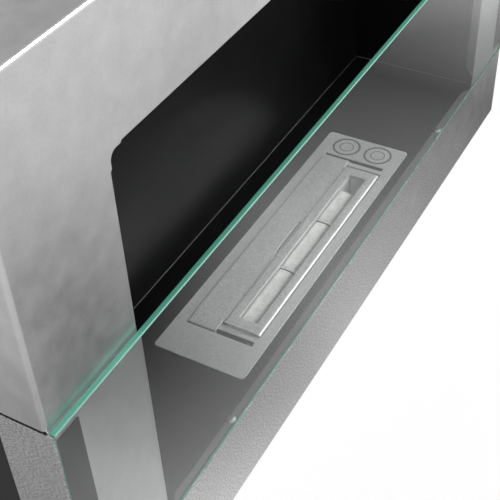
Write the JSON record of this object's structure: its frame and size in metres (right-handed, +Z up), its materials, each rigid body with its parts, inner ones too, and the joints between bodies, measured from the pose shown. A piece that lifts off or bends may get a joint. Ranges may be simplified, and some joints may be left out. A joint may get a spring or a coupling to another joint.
{
  "type": "bioethanol fireplace",
  "caption": "Wall-hung bioethanol fireplace: black fire chamber behind a brushed steel frame, clear glass guard, lift-out burner with wool-filled trough and sliding lid.",
  "frame": {"origin": "centre of the overall box at its base, midway between the glass front and the back plate", "axes": "+X along the width to the right seen from the front, +Y from the front to the wall, +Z up"},
  "size_m": [0.9, 0.18, 0.55],
  "materials": {
    "front_steel": "brushed along the width, satin",
    "burner_steel": "brushed, satin",
    "zinc_steel": "zinc plated",
    "chamber_paint": "matt black, heat resistant",
    "strip_paint": "satin black",
    "tape": "matt black heat-proof tape",
    "glass": "clear toughened glass, arrised edges",
    "wool": "off-white ceramic fibre wool"
  },
  "bodies": {
    "frame": {"upper_front_frame": "front_steel", "lower_front_fascia": "front_steel", "glass_pane": "glass", "glass_tape_left": "tape", "glass_tape_right": "tape", "glass_rest_strip": "strip_paint", "strip_screw_left": "zinc_steel", "strip_screw_right": "zinc_steel", "strip_nut_left": "zinc_steel", "strip_nut_right": "zinc_steel", "case_left": "chamber_paint", "case_right": "chamber_paint", "case_top": "chamber_paint", "case_bottom": "chamber_paint", "case_back": "chamber_paint", "firebox_back": "chamber_paint", "firebox_left": "chamber_paint", "firebox_right": "chamber_paint", "firebox_ceiling": "chamber_paint", "firebox_floor": "chamber_paint", "wall_spacer_left_lower": "zinc_steel", "wall_spacer_left_upper": "zinc_steel", "wall_spacer_right_lower": "zinc_steel", "wall_spacer_right_upper": "zinc_steel", "wall_screw_left_lower": "chamber_paint", "wall_screw_left_upper": "chamber_paint", "wall_screw_right_lower": "chamber_paint", "wall_screw_right_upper": "chamber_paint", "frame_nut_1": "zinc_steel", "frame_nut_2": "zinc_steel", "frame_nut_3": "zinc_steel", "frame_nut_4": "zinc_steel", "frame_nut_5": "zinc_steel", "frame_nut_6": "zinc_steel", "rail_nut_1": "zinc_steel", "rail_nut_2": "zinc_steel", "rail_nut_3": "zinc_steel", "hanging_plate_left": "zinc_steel", "hanging_plate_right": "zinc_steel", "back_screw_1": "zinc_steel", "back_screw_2": "zinc_steel", "back_screw_3": "zinc_steel", "back_screw_4": "zinc_steel", "back_screw_5": "zinc_steel", "back_screw_6": "zinc_steel"},
    "burner": {"burner_plate": "burner_steel", "burner_rim": "burner_steel", "slider_guide_left": "burner_steel", "slider_guide_right": "burner_steel", "cross_bar_1": "burner_steel", "cross_bar_2": "burner_steel", "wool_trough": "burner_steel", "fuel_tank": "burner_steel", "wool_pad_1": "wool", "wool_pad_2": "wool", "wool_pad_3": "wool"},
    "lid": {"slider_lid": "burner_steel"}
  },
  "joints": [
    {"name": "burner_lift", "type": "slide", "parent": "frame", "child": "burner", "axis": [0, 0, 1], "range_m": [0, 0.08]},
    {"name": "lid_slide", "type": "slide", "parent": "burner", "child": "lid", "axis": [0, -1, 0], "range_m": [0, 0.031]}
  ]
}
